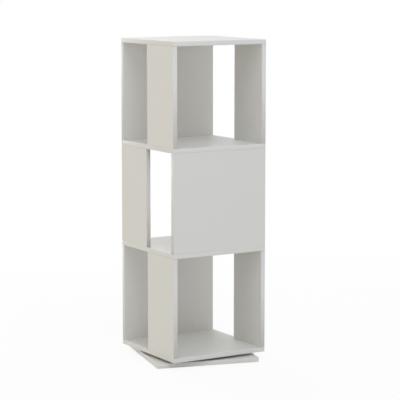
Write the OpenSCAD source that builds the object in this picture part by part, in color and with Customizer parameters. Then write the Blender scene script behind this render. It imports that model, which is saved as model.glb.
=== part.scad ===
// Rotating shelf unit: a three-tier tower of coated boards that turns on a square base.
// Millimetres, Z up, the open side of the top tier faces -Y.
// The origin lies on the floor, on the turning axis.

/* [Tower] */
// Width and depth of the square tower
tower_w = 350; // [320:1:420]
// Clear height of one tier
tier_h = 327; // [260:1:380]
// Thickness of the four level boards
board_t = 15; // [13:1:22]
// Thickness of the upright panels
panel_t = 15; // [14:1:22]
// Width of the side panels, which leave the rest of the side open
side_w = 172; // [130:1:180]
// Bevel along the edges of the boards
edge_ease = 0.8; // [0.3:0.1:2]

/* [Base] */
// Width and depth of the base plate
base_w = 350; // [300:1:420]
// Thickness of the base plate
base_t = 15; // [13:1:25]
// Turn of the base plate under the tower at rest
base_turn = -13.35; // [-45:0.05:45]
// Diameter of a floor glide
glide_d = 24; // [16:1:36]
// Height of a floor glide
glide_t = 2.5; // [1.5:0.5:6]
// Distance of a glide's centre from the edges of the base plate
glide_inset = 25; // [20:1:60]
// Diameter of a glide's nail
nail_d = 2.4; // [1.6:0.2:4]
// Length of a glide's nail in the base plate
nail_l = 9; // [5:1:11]

/* [Swivel bearing] */
// Side of the two square bearing plates
bearing_w = 150; // [144:1:200]
// Height of the whole bearing
bearing_h = 8; // [7.6:0.1:12]
// Sheet thickness of the bearing plates
gauge = 1.2; // [0.8:0.1:1.4]
// Corner radius of the bearing plates
bearing_corner = 10; // [4:1:14]
// Diameter of a bearing ball
ball_d = 4; // [3:0.1:4.4]
// Number of balls
ball_count = 28; // [12:1:32]
// Diameter of the circle that the balls run on
ball_circle_d = 112; // [100:1:116]
// Radial room between a ball and its races or its pocket
race_gap = 0.2; // [0.1:0.05:0.3]
// Thickness of the ball cage
cage_t = 0.8; // [0.5:0.1:1.2]
// Width of the ball cage
cage_w = 7; // [5.5:0.5:8]
// Distance from the ball circle to the outside of the raised ring
ring_reach = 6; // [5.4:0.1:8]
// Distance from the ball circle to the inner edge of the upper plate
lip_reach = 10; // [8:0.5:12]
// Width of the rolled edge that holds the upper plate down
curl_w = 5.5; // [4:0.5:6]
// Running room between the rolled edge and the upper plate
curl_gap = 0.3; // [0.2:0.05:0.5]

/* [Bearing screws] */
// Diameter of a bearing screw
screw_d = 3.8; // [3:0.1:4.4]
// Length of a bearing screw below its head
screw_l = 12; // [8:0.5:13]
// Diameter of a screw head
screw_head_d = 7.4; // [6.5:0.1:8]
// Height of a screw head
screw_head_h = 2; // [1.2:0.1:2.2]
// Distance of the base screws from the edges of the bearing plate
base_screw_inset = 8; // [6:0.5:9]
// Distance of the tower screws from the edges of the bearing plate
tower_screw_inset = 17; // [17:0.5:18]
// Diameter of the hole in the lower plate that a screwdriver reaches through
access_d = 14; // [9:0.5:15]
// Diameter of the same hole in the base plate
base_access_d = 20; // [15:1:26]

/* [Dowels] */
// Diameter of a dowel
dowel_d = 8; // [6:0.5:9]
// Length of a dowel
dowel_l = 30; // [24:1:40]
// Depth of a dowel in a level board
dowel_in_board = 10; // [7:0.5:11]
// Distance of a dowel from the edge of its panel
dowel_inset = 25; // [18:1:40]

/* [Cam fittings] */
// Diameter of a cam
cam_d = 15; // [14:0.5:18]
// Distance from the end of a panel to the centre of its cam
cam_setback = 34; // [28:1:40]
// Depth of a cam past the middle of its panel
cam_past_middle = 4.5; // [4.2:0.1:5]
// Distance of a cam from the edge of a full-width panel
cam_inset = 75; // [55:1:110]
// Diameter of the threaded end of a cam bolt
thread_d = 6; // [5:0.5:7]
// Length of the threaded end of a cam bolt
thread_l = 10; // [7:0.5:11]
// Diameter of a cam bolt's shank
shank_d = 6.8; // [6:0.1:7.4]
// Diameter of a cam bolt's neck
neck_d = 4; // [3:0.1:4.6]
// Diameter of a cam bolt's head
bolt_head_d = 6.4; // [5.6:0.1:6.8]
// Thickness of a cam bolt's head
bolt_head_t = 3; // [2:0.1:4]
// Diameter of the hole for a cam bolt in the end of a panel
bolt_hole_d = 8; // [7.8:0.1:9]
// Diameter of a cam's cover cap
cap_d = 17; // [16:0.5:20]
// Thickness of a cover cap
cap_t = 0.8; // [0.6:0.1:1.5]
// Diameter of a cover cap's stem
cap_stem_d = 3; // [2:0.1:3.6]
// Length of a cover cap's stem
cap_stem_l = 1.5; // [1:0.1:2]

/* [Clearances] */
// Radial room round dowels, screws, nails, threads and cams
fit_gap = 0.1; // [0.05:0.01:0.15]
// Room past the end of a pin or bolt in its hole
end_gap = 0.5; // [0.3:0.1:1]
// Running room above and below the ball cage
cage_gap = 0.3; // [0.2:0.05:0.5]
// Radial room between the rolled edge's neck and the upper plate
neck_gap = 0.8; // [0.4:0.1:1.2]

/* [Hidden] */
$fn = 48;
// Small overlap that lets one cut run into the next
cut = 0.05;

// Levels from the floor up
base_top = glide_t + base_t;
tower_z = base_top + bearing_h;
tier_pitch = tier_h + board_t;
function board_z(i) = tower_z + i * tier_pitch;
function tier_z(i) = board_z(i) + board_t;

// Swivel bearing, with heights taken from the plane of the ball centres
ball_z = base_top + bearing_h / 2;
ball_circle_r = ball_circle_d / 2;
race_r = ball_d / 2 + race_gap;
plate_half = bearing_h / 2;
shoulder_low = cage_t / 2 + cage_gap;
shoulder_high = shoulder_low + gauge;
ring_r = ball_circle_r + ring_reach;
lip_r = ball_circle_r - lip_reach;
neck_out_r = lip_r - neck_gap;
neck_in_r = neck_out_r - gauge;
curl_low = shoulder_high + curl_gap;
curl_high = curl_low + gauge;

// Screws, dowels and cams
screw_hole_r = screw_d / 2 + fit_gap;
base_screw_at = bearing_w / 2 - base_screw_inset;
tower_screw_at = bearing_w / 2 - tower_screw_inset;
screw_tip_l = screw_d * 0.6;
cross_w = 0.9;
cam_depth = panel_t / 2 + cam_past_middle;
cam_sink = 0.5;
cam_slot_w = neck_d + 1;
cam_core_r = bolt_head_d / 2 + 0.6;
full_cams = [-(tower_w / 2 - cam_inset), tower_w / 2 - cam_inset];
side_cams = [0];
function dowels_at(w) = [-(w / 2 - dowel_inset), w / 2 - dowel_inset];

white_board = "#e4e1da";
white_edge = "#ecebe7";
zinc = "#b9bcc0";
beech = "#d8b98a";
white_plastic = "#efeeea";

// A rectangle with its four corners bevelled
module eased_rect(w, d, e = edge_ease) {
  polygon([[e - w / 2, -d / 2], [w / 2 - e, -d / 2], [w / 2, e - d / 2], [w / 2, d / 2 - e],
           [w / 2 - e, d / 2], [e - w / 2, d / 2], [-w / 2, d / 2 - e], [-w / 2, e - d / 2]]);
}

// A level board with every edge bevelled, standing on z = 0
module slab(w, t) {
  translate([0, 0, t / 2])
    intersection() {
      rotate([90, 0, 0])
        translate([0, 0, -w / 2])
          linear_extrude(w) eased_rect(w, t);
      rotate([90, 0, 90])
        translate([0, 0, -w / 2])
          linear_extrude(w) eased_rect(w, t);
      translate([0, 0, -t / 2])
        linear_extrude(t) eased_rect(w, w);
    }
}

// Places for the three panels of a tier: in the panel's own frame X runs along its width,
// y = 0 is its inner face, y = panel_t its outer face and z = 0 its lower end
module tier_frame(i) {
  translate([0, 0, tier_z(i)])
    rotate([0, 0, i % 2 == 1 ? 180 : 0]) children();
}

module at_closed_side() {
  $wide = tower_w;
  $cams_at = full_cams;
  translate([0, tower_w / 2 - panel_t, 0]) children();
}

module at_half_side(side) {
  $wide = side_w;
  $cams_at = side_cams;
  translate([side * (tower_w / 2 - panel_t), (side_w - tower_w) / 2, 0])
    rotate([0, 0, -90 * side]) children();
}

module on_each_panel(i) {
  tier_frame(i) {
    at_closed_side() children();
    at_half_side(-1) children();
    at_half_side(1) children();
  }
}

// Both ends of a panel, or one of them, with z running into the panel
module at_ends(ends = [0, 1]) {
  for (end = ends)
    translate([0, 0, end * tier_h])
      mirror([0, 0, end]) children();
}

module at_dowels() {
  for (x = dowels_at($wide))
    translate([x, panel_t / 2, 0]) children();
}

module at_bolts() {
  for (x = $cams_at)
    translate([x, panel_t / 2, 0]) children();
}

// A cam's own frame: z runs from the panel's inner face into the panel
module at_cams() {
  for (x = $cams_at)
    translate([x, 0, cam_setback])
      rotate([-90, 0, 0]) children();
}

// An upright panel with the holes for its fittings
module panel() {
  difference() {
    translate([0, panel_t / 2, 0])
      linear_extrude(tier_h) eased_rect($wide, panel_t);
    at_ends() {
      at_dowels()
        translate([0, 0, -cut])
          cylinder(r = dowel_d / 2 + fit_gap, h = dowel_l - dowel_in_board + end_gap + cut);
      at_bolts()
        translate([0, 0, -cut])
          cylinder(d = bolt_hole_d, h = cam_setback + cut);
      at_cams()
        translate([0, 0, -cut])
          cylinder(r = cam_d / 2 + fit_gap, h = cam_depth + cut);
    }
  }
}

// Holes that a tier's fittings need in the board at one of its ends
module board_holes(i, end) {
  on_each_panel(i)
    at_ends([end]) {
      at_dowels()
        translate([0, 0, -dowel_in_board - end_gap])
          cylinder(r = dowel_d / 2 + fit_gap, h = dowel_in_board + end_gap + cut);
      at_bolts()
        translate([0, 0, -thread_l - end_gap])
          cylinder(r = thread_d / 2 + fit_gap, h = thread_l + end_gap + cut);
    }
}

module level_board(i) {
  difference() {
    translate([0, 0, board_z(i)]) slab(tower_w, board_t);
    if (i > 0) board_holes(i - 1, 1);
    if (i < 3) board_holes(i, 0);
  }
}

module bottom_board() {
  color(white_board)
    difference() {
      level_board(0);
      at_tower_screws() screw_hole();
    }
}

module lower_shelf() {
  color(white_board) level_board(1);
}

module upper_shelf() {
  color(white_board) level_board(2);
}

module top_board() {
  color(white_board) level_board(3);
}

// Bottom and top tiers are closed at the back, the middle tier is the same turned half round
module closed_panel(i) {
  color(white_edge)
    tier_frame(i) at_closed_side() panel();
}

module half_panel(i, side) {
  color(white_edge)
    tier_frame(i) at_half_side(side) panel();
}

module bottom_back_panel() {
  closed_panel(0);
}

module bottom_left_panel() {
  half_panel(0, -1);
}

module bottom_right_panel() {
  half_panel(0, 1);
}

module middle_front_panel() {
  closed_panel(1);
}

module middle_left_panel() {
  half_panel(1, 1);
}

module middle_right_panel() {
  half_panel(1, -1);
}

module top_back_panel() {
  closed_panel(2);
}

module top_left_panel() {
  half_panel(2, -1);
}

module top_right_panel() {
  half_panel(2, 1);
}

// Beech dowel with bevelled ends, across the joint of a panel and a board
module dowel() {
  bevel = dowel_d / 8;
  translate([0, 0, -dowel_in_board])
    rotate_extrude()
      polygon([[0, 0], [dowel_d / 2 - bevel, 0], [dowel_d / 2, bevel], [dowel_d / 2, dowel_l - bevel],
               [dowel_d / 2 - bevel, dowel_l], [0, dowel_l]]);
}

module tier_dowels(i) {
  color(beech)
    on_each_panel(i) at_ends() at_dowels() dowel();
}

module bottom_dowels() {
  tier_dowels(0);
}

module middle_dowels() {
  tier_dowels(1);
}

module top_dowels() {
  tier_dowels(2);
}

// Cam bolt: thread in the board, shank and neck in the panel, head inside the cam
module cam_bolt() {
  head_top = cam_setback + bolt_head_t / 2;
  head_low = head_top - bolt_head_t;
  neck_low = cam_setback - cam_d / 2 - end_gap;
  taper = thread_d / 6;
  rotate_extrude()
    polygon([[0, -thread_l], [thread_d / 2 - taper, -thread_l], [thread_d / 2, taper - thread_l],
             [thread_d / 2, 0], [shank_d / 2, 0], [shank_d / 2, neck_low - taper],
             [neck_d / 2, neck_low], [neck_d / 2, head_low], [bolt_head_d / 2, head_low],
             [bolt_head_d / 2, head_top - taper / 2], [bolt_head_d / 2 - taper / 2, head_top],
             [0, head_top]]);
}

module tier_cam_bolts(i) {
  color(zinc)
    on_each_panel(i) at_ends() at_bolts() cam_bolt();
}

module bottom_cam_bolts() {
  tier_cam_bolts(0);
}

module middle_cam_bolts() {
  tier_cam_bolts(1);
}

module top_cam_bolts() {
  tier_cam_bolts(2);
}

// Cam: a drum with a mouth for the bolt's head, a half-round slot for its neck, a cross and
// a socket for the cap's stem; the bolt comes in along +Y of the cam's frame
module cam() {
  drum_h = cam_depth - cam_sink;
  mouth_l = cam_d / 2 + cut;
  bolt_at = panel_t / 2 - cam_sink;
  cross_l = cam_d * 0.5;
  cross_depth = cap_stem_l + end_gap;
  translate([0, 0, cam_sink])
    difference() {
      cylinder(d = cam_d, h = drum_h);
      translate([0, 0, bolt_at])
        rotate([-90, 0, 0])
          cylinder(r = cam_core_r, h = mouth_l);
      translate([0, 0, bolt_at])
        sphere(r = cam_core_r);
      difference() {
        translate([-cam_d, -cut, bolt_at - cam_slot_w / 2])
          cube([cam_d * 2, cam_d, cam_slot_w]);
        translate([0, 0, -cut])
          cylinder(r = cam_core_r, h = drum_h);
      }
      for (turn = [0, 90])
        rotate([0, 0, turn])
          translate([-cross_l / 2, -cross_w / 2, -cut])
            cube([cross_l, cross_w, cross_depth + cut]);
      translate([0, 0, -cut])
        cylinder(r = cap_stem_d / 2 + fit_gap, h = cross_depth + cut);
    }
}

module tier_cams(i) {
  color(zinc)
    on_each_panel(i) at_ends() at_cams() cam();
}

module bottom_cams() {
  tier_cams(0);
}

module middle_cams() {
  tier_cams(1);
}

module top_cams() {
  tier_cams(2);
}

// Cover cap: a thin disc on the panel's inner face with a stem in the cam
module cam_cap() {
  bevel = cap_t / 2;
  rotate_extrude()
    polygon([[0, -cap_t], [cap_d / 2 - bevel, -cap_t], [cap_d / 2, -bevel], [cap_d / 2, 0],
             [cap_stem_d / 2, 0], [cap_stem_d / 2, cam_sink + cap_stem_l], [0, cam_sink + cap_stem_l]]);
}

module tier_cam_caps(i) {
  color(white_plastic)
    on_each_panel(i) at_ends() at_cams() cam_cap();
}

module bottom_cam_caps() {
  tier_cam_caps(0);
}

module middle_cam_caps() {
  tier_cam_caps(1);
}

module top_cam_caps() {
  tier_cam_caps(2);
}

// The base plate, its glides and the lower half of the bearing share one turned frame
module base_frame() {
  rotate([0, 0, base_turn]) children();
}

module at_corners(reach) {
  for (sx = [-1, 1], sy = [-1, 1])
    translate([sx * reach, sy * reach, 0]) children();
}

module at_glides() {
  base_frame() at_corners(base_w / 2 - glide_inset) children();
}

module at_base_screws() {
  translate([0, 0, base_top + gauge])
    base_frame() at_corners(base_screw_at)
      mirror([0, 0, 1]) children();
}

module at_tower_screws() {
  translate([0, 0, tower_z - gauge])
    at_corners(tower_screw_at) children();
}

// The screwdriver hole lies on the circle that the tower screws turn on
module access_hole(d) {
  base_frame()
    translate([tower_screw_at, tower_screw_at, -cut])
      cylinder(d = d, h = base_top + shoulder_high);
}

// Hole for a bearing screw, along z from the face under the screw's head
module screw_hole() {
  translate([0, 0, -cut])
    cylinder(r = screw_hole_r, h = screw_l + end_gap + cut);
}

module base_plate() {
  color(white_board)
    difference() {
      translate([0, 0, glide_t])
        base_frame() slab(base_w, base_t);
      access_hole(base_access_d);
      at_base_screws() screw_hole();
      at_glides()
        translate([0, 0, glide_t - cut])
          cylinder(r = nail_d / 2 + fit_gap, h = nail_l + end_gap + cut);
    }
}

// Plastic glide on a nail
module glide() {
  bevel = glide_t / 3;
  rotate_extrude()
    polygon([[0, 0], [glide_d / 2 - bevel, 0], [glide_d / 2, bevel], [glide_d / 2, glide_t],
             [nail_d / 2, glide_t], [nail_d / 2, glide_t + nail_l - nail_d], [0, glide_t + nail_l]]);
}

module floor_glides() {
  color(white_plastic)
    at_glides() glide();
}

// A stamped bearing plate, drawn as the lower one with z = 0 at the ball centres:
// a square flange, a raised ring with the ball race pressed into it, and the screw holes
module square_flange(screw_at) {
  difference() {
    translate([0, 0, -plate_half])
      linear_extrude(gauge)
        union() {
          square([bearing_w, bearing_w - 2 * bearing_corner], center = true);
          square([bearing_w - 2 * bearing_corner, bearing_w], center = true);
          at_corners(bearing_w / 2 - bearing_corner) circle(bearing_corner);
        }
    translate([0, 0, -plate_half - cut])
      cylinder(r = ring_r - gauge, h = gauge + 2 * cut, $fn = 96);
    at_corners(screw_at)
      translate([0, 0, -plate_half - cut])
        cylinder(r = screw_hole_r, h = gauge + 2 * cut);
  }
}

// Section of the raised ring: riser, shoulders and the race, with inner_r where it ends
module ring_section(inner_r) {
  difference() {
    union() {
      translate([ring_r - gauge, -plate_half])
        square([gauge, plate_half - shoulder_low]);
      translate([inner_r, -shoulder_high])
        square([ring_r - inner_r, gauge]);
      intersection() {
        translate([ball_circle_r, 0]) circle(race_r + gauge);
        translate([ball_circle_r - race_r - gauge, -plate_half])
          square([2 * (race_r + gauge), plate_half - shoulder_low]);
      }
    }
    translate([ball_circle_r, 0]) circle(race_r);
  }
}

// Section of the neck that rises through the upper plate and rolls out over its lip
module curl_section() {
  translate([neck_in_r, -shoulder_high])
    square([gauge, shoulder_high + curl_high]);
  translate([neck_in_r, curl_low])
    square([curl_w, gauge]);
}

module bearing_lower_plate() {
  color(zinc)
    difference() {
      translate([0, 0, ball_z])
        base_frame() {
          union() {
            square_flange(base_screw_at);
            rotate_extrude($fn = 96) {
              ring_section(neck_in_r);
              curl_section();
            }
          }
        }
      access_hole(access_d);
    }
}

module bearing_upper_plate() {
  color(zinc)
    translate([0, 0, ball_z])
      mirror([0, 0, 1])
        union() {
          square_flange(tower_screw_at);
          rotate_extrude($fn = 96) ring_section(lip_r);
        }
}

// Pan-head screw with z along its shank, from the face under its head
module screw() {
  difference() {
    rotate_extrude()
      polygon([[0, -screw_head_h], [screw_head_d * 0.25, -screw_head_h * 0.95],
               [screw_head_d * 0.42, -screw_head_h * 0.65], [screw_head_d / 2, 0], [screw_d / 2, 0],
               [screw_d / 2, screw_l - screw_tip_l], [0, screw_l]]);
    for (turn = [0, 90])
      rotate([0, 0, turn])
        translate([-screw_d / 2, -cross_w / 2, -screw_head_h - cut])
          cube([screw_d, cross_w, screw_head_h / 2 + cut]);
  }
}

module base_screws() {
  color(zinc) at_base_screws() screw();
}

module tower_screws() {
  color(zinc) at_tower_screws() screw();
}

module at_balls() {
  translate([0, 0, ball_z])
    for (i = [0 : ball_count - 1])
      rotate([0, 0, i * 360 / ball_count])
        translate([ball_circle_r, 0, 0]) children();
}

module bearing_balls() {
  color(zinc)
    at_balls() sphere(d = ball_d);
}

module ball_cage() {
  color(white_plastic)
    difference() {
      translate([0, 0, ball_z - cage_t / 2])
        difference() {
          cylinder(r = ball_circle_r + cage_w / 2, h = cage_t, $fn = 96);
          translate([0, 0, -cut])
            cylinder(r = ball_circle_r - cage_w / 2, h = cage_t + 2 * cut, $fn = 96);
        }
      at_balls()
        cylinder(r = race_r, h = cage_t + 2 * cut, center = true);
    }
}

base_plate();
floor_glides();
bearing_lower_plate();
base_screws();
ball_cage();
bearing_balls();
bearing_upper_plate();
tower_screws();
bottom_board();
lower_shelf();
upper_shelf();
top_board();
bottom_back_panel();
bottom_left_panel();
bottom_right_panel();
middle_front_panel();
middle_left_panel();
middle_right_panel();
top_back_panel();
top_left_panel();
top_right_panel();
bottom_dowels();
middle_dowels();
top_dowels();
bottom_cam_bolts();
middle_cam_bolts();
top_cam_bolts();
bottom_cams();
middle_cams();
top_cams();
bottom_cam_caps();
middle_cam_caps();
top_cam_caps();
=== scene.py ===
"""Rotating shelf unit of white coated boards: its boards, fittings and finishes round a fixed frame."""
import math
from typing import NamedTuple

import bmesh
import bpy
from mathutils import Matrix, Vector


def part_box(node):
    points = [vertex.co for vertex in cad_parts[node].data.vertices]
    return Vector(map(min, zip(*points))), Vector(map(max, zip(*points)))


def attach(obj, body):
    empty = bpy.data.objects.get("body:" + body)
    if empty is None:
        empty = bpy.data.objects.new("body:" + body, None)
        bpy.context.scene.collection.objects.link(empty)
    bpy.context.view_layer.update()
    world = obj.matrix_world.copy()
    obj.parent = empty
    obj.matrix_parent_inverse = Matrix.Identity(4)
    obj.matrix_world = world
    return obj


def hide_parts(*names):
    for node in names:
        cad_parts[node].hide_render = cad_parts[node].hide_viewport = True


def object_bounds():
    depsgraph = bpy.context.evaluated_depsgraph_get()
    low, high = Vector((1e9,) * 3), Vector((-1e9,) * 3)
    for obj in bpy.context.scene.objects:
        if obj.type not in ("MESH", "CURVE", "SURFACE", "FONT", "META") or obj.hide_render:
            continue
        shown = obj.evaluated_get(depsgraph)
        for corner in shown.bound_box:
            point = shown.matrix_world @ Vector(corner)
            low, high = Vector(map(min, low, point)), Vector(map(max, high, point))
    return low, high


bl_info = {
    "name": "Rotating Shelf Unit",
    "version": (1, 0, 0),
    "blender": (4, 5, 0),
    "location": "View3D > Sidebar > Shelf",
    "description": "Builds a rotating shelf unit of white coated boards, with its fittings and a studio",
    "category": "Object",
}

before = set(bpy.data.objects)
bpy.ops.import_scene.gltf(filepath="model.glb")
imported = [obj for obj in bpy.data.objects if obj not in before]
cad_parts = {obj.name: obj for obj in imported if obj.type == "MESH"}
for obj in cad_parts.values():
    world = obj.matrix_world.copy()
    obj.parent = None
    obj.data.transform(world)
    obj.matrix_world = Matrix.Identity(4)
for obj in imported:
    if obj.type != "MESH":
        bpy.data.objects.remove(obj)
CAD_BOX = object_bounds()

MM = 0.001
TIERS = ("bottom", "middle", "top")
LEVEL_BOARDS = ("bottom_board", "lower_shelf", "upper_shelf", "top_board")
UPRIGHTS = {
    "bottom": ("bottom_back_panel", "bottom_left_panel", "bottom_right_panel"),
    "middle": ("middle_front_panel", "middle_left_panel", "middle_right_panel"),
    "top": ("top_back_panel", "top_left_panel", "top_right_panel"),
}
# Order of the finishes on every coated board
FACE, EDGING, JOINT, CHIPS = range(4)

# Points of a CAD mesh this close together are one, and a hole this close to a node reaches into it
TOUCHING = 0.001 * MM
# Decimals of a metre by which solids are put in order
ORDER_DECIMALS = 5
# Points of the base plate this close to its furthest corner belong to that corner's rounding
CORNER_REACH = 3 * MM
# Radius that is left to a board's outline where it is drawn in past the middle of its corners
LEAST_CORNER = 0.05 * MM
# Share of a bolt's wide bore that runs into its narrow one, so that the two are one hole
BORE_OVERLAP = 0.001
# Points of a turned solid this close together are one, which closes its seam and its ends
CLOSING = 0.002 * MM
# Faces that meet at more than this angle keep a sharp edge between them
CRISP_ANGLE = math.radians(32)
# How far the middle of a thread's ridge lies outside the core, as a share of the ridge's radius
RIDGE_SEAT = 0.8
# Length of the cross in a screw's head as a share of the head's radius, and its depth as one of its height
CROSS_LENGTH, CROSS_DEPTH = 1.05, 0.55
# Steps in the rounding of a glide's rim, and faces of a dowel for each of its flutes
RIM_STEPS, FACES_PER_FLUTE = 4, 4
# Numbers of a colour mix's sockets, whose names repeat for each kind of data
MIX_FACTOR, MIX_FIRST, MIX_SECOND, MIXED = 0, 6, 7, 2
# Name under which a point carries the direction that its fitting faces
AIM = "aim"
# Place and side of each square lamp, in metres
LAMPS = {
    "Key": ((-0.6, -2.2, 3.9), 2.4),
    "Back": ((0.3, 4.4, 1.7), 3.0),
    "Left": ((-4.2, -0.4, 0.7), 2.6),
    "Right": ((4.2, 0.6, 1.8), 2.6),
}
# Share of the shading reach within which the floor keeps the whole of its shading
SHADED_SHARE = 0.4
# Width of the camera's sensor, in millimetres
SENSOR_WIDTH = 36


class Box(NamedTuple):
    """The box round a solid or a node, by its lowest and highest corner."""
    low: Vector
    high: Vector

    @property
    def middle(self):
        """The point in the middle of the box."""
        return (self.low + self.high) / 2

    @property
    def size(self):
        """The box's width, depth and height."""
        return self.high - self.low

    @property
    def thin_axis(self):
        """The level axis along which the box is thinner: 0 for X and 1 for Y."""
        return 0 if self.size.x < self.size.y else 1


def box_of(node):
    """The box round a CAD node."""
    return Box(*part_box(node))


def linear(hex_colour):
    """An sRGB hex colour as linear red, green and blue."""
    channels = [int(hex_colour[i:i + 2], 16) / 255 for i in (1, 3, 5)]
    return [c / 12.92 if c <= 0.04045 else ((c + 0.055) / 1.055) ** 2.4 for c in channels]


def colour(label, about, hex_colour):
    """A colour that the user can change."""
    return bpy.props.FloatVectorProperty(
        name=label, description=about, subtype="COLOR", size=3, min=0, max=1, default=linear(hex_colour))


def length(label, about, millimetres):
    """A length that the user can change."""
    return bpy.props.FloatProperty(
        name=label, description=about, unit="LENGTH", precision=5, min=0, default=millimetres * MM)


def count(label, about, least, number):
    """A whole number that the user can change."""
    return bpy.props.IntProperty(name=label, description=about, min=least, default=number)


def power(label, about, watts):
    """The power of a lamp, which the user can change."""
    return bpy.props.FloatProperty(name=label, description=about, unit="POWER", min=0, default=watts)


def turn_of_base():
    """Turn of the base plate against the tower, from the corner of its mesh with the highest X and Y."""
    points = [vert.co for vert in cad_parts["base_plate"].data.vertices]
    corner = max(points, key=lambda co: co.x + co.y)
    rounding = [co.xy for co in points if (co.xy - corner.xy).length < CORNER_REACH]
    mean = sum(rounding, Vector((0, 0))) / len(rounding)
    return math.atan2(mean.y, mean.x) - math.radians(45)


def solids_of(node):
    """The box round each separate solid of a CAD node, in the order of their lowest corners."""
    shape = bmesh.new()
    shape.from_mesh(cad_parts[node].data)
    bmesh.ops.remove_doubles(shape, verts=shape.verts, dist=TOUCHING)
    left, found = set(shape.verts), []
    while left:
        first = left.pop()
        island, edge = [first], [first]
        while edge:
            for link in edge.pop().link_edges:
                for vert in link.verts:
                    if vert in left:
                        left.remove(vert)
                        island.append(vert)
                        edge.append(vert)
        points = [vert.co for vert in island]
        found.append(Box(Vector(map(min, zip(*points))), Vector(map(max, zip(*points)))))
    shape.free()
    return sorted(found, key=lambda solid: tuple(round(c, ORDER_DECIMALS) for c in solid.low))


class ShelfBoards(bpy.types.PropertyGroup):
    """Sizes and colours of the coated boards."""
    arris: length("Arris", "Radius along the edges of the boards", 0.8)
    edging: length("Edging", "Thickness of the edging strips", 1.0)
    joint_width: length("Joint width", "Width of the hairline between a face and its edging", 0.3)
    joint_depth: length("Joint depth", "Depth of that hairline", 0.12)
    arc_steps: count("Arc steps", "Flats in the quarter round of an arris", 1, 3)
    face_colour: colour("Face", "Colour of the melamine faces", "#dddcd8")
    face_tint: colour("Face tint", "Colour that the faces drift towards in broad patches", "#dbdad5")
    edging_colour: colour("Edging", "Colour of the edging strips", "#dcdbd8")
    joint_colour: colour("Joint", "Colour of the hairline beside the edging", "#b6b2a9")
    chip_light: colour("Light chips", "Light chips of the raw board", "#d8b98a")
    chip_dark: colour("Dark chips", "Dark chips of the raw board", "#9c7448")


class ShelfBores(bpy.types.PropertyGroup):
    """Sizes of the holes that are bored for the fittings."""
    fit: length("Fit", "Radial room round a dowel or cam", 0.1)
    end_room: length("End room", "Room past the end of a dowel, bolt, screw or nail", 0.5)
    bolt: length("Bolt", "Diameter of the hole for a cam bolt in a panel", 8)
    thread: length("Thread", "Diameter of the hole for a cam bolt's thread in a board", 6.2)
    screw: length("Screw", "Diameter of the hole for a bearing screw", 4)
    nail: length("Nail", "Diameter of the hole for a glide's nail", 2.6)
    access: length("Access", "Diameter of the screwdriver hole in the base plate", 20)
    sides: count("Sides", "Flats round a hole", 12, 32)


class ShelfCaps(bpy.types.PropertyGroup):
    """Sizes of a cover cap."""
    lip: length("Lip", "Thickness of the cap outside its panel", 0.8)
    crown: length("Crown", "How much the middle stands above the rim", 0.25)
    stem: length("Stem", "Diameter of the stem", 3)
    sides: count("Sides", "Flats round the cap", 12, 32)


class ShelfDowels(bpy.types.PropertyGroup):
    """Sizes of a dowel."""
    bevel: length("Bevel", "Bevel at both ends", 1)
    flutes: count("Flutes", "Flutes round the dowel", 6, 16)
    flute_depth: length("Flute depth", "Depth of the flutes", 0.35)


class ShelfBolts(bpy.types.PropertyGroup):
    """Sizes of a cam bolt."""
    thread_length: length("Thread length", "Length of the thread", 10)
    thread: length("Thread", "Outer diameter of the thread", 6)
    core: length("Core", "Core diameter of the thread", 4.6)
    pitch: length("Pitch", "Pitch of the thread", 2.4)
    shank: length("Shank", "Diameter of the shank", 6.8)
    neck: length("Neck", "Diameter of the neck", 4)
    neck_length: length("Neck length", "Length of the neck", 6.5)
    head: length("Head", "Diameter of the head", 6.4)
    head_length: length("Head length", "Length of the head", 3)
    sides: count("Sides", "Flats round the bolt", 12, 32)
    thread_sides: count("Thread sides", "Steps in one turn of the thread", 8, 16)


class ShelfScrews(bpy.types.PropertyGroup):
    """Sizes of a bearing screw."""
    head_length: length("Head length", "Height of the head", 2)
    thread: length("Thread", "Outer diameter of the thread", 3.8)
    core: length("Core", "Core diameter of the thread", 2.7)
    pitch: length("Pitch", "Pitch of the thread", 1.5)
    point: length("Point", "Length of the point", 2.3)
    cross: length("Cross", "Width of the cross in the head", 0.9)
    sides: count("Sides", "Flats round the screw", 12, 32)
    thread_sides: count("Thread sides", "Steps in one turn of the thread", 8, 16)


class ShelfGlides(bpy.types.PropertyGroup):
    """Sizes of a floor glide."""
    pad: length("Pad", "Thickness of the pad", 2.5)
    rim: length("Rim", "Radius along the lower rim", 1.2)
    nail: length("Nail", "Diameter of the nail", 2.4)
    sides: count("Sides", "Flats round the glide", 12, 32)


class ShelfBalls(bpy.types.PropertyGroup):
    """Fineness of the bearing balls."""
    steps: count("Steps", "Rings of faces on a ball", 6, 10)


class ShelfColours(bpy.types.PropertyGroup):
    """Colours of the fittings."""
    zinc: colour("Zinc plate", "Colour of the zinc-plated steel", "#c4c8cc")
    cams: colour("Cam alloy", "Colour of the die-cast cams", "#a9acb0")
    balls: colour("Ball steel", "Colour of the bearing balls", "#cfd1d4")
    nylon: colour("Nylon", "Colour of the ball cage", "#dcd9cf")
    plastic: colour("Plastic", "Colour of the cover caps and glides", "#dddcd8")
    light_beech: colour("Light beech", "Light wood of the dowels", "#dcbf93")
    dark_beech: colour("Dark beech", "Dark wood of the dowels", "#c09a66")


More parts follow.
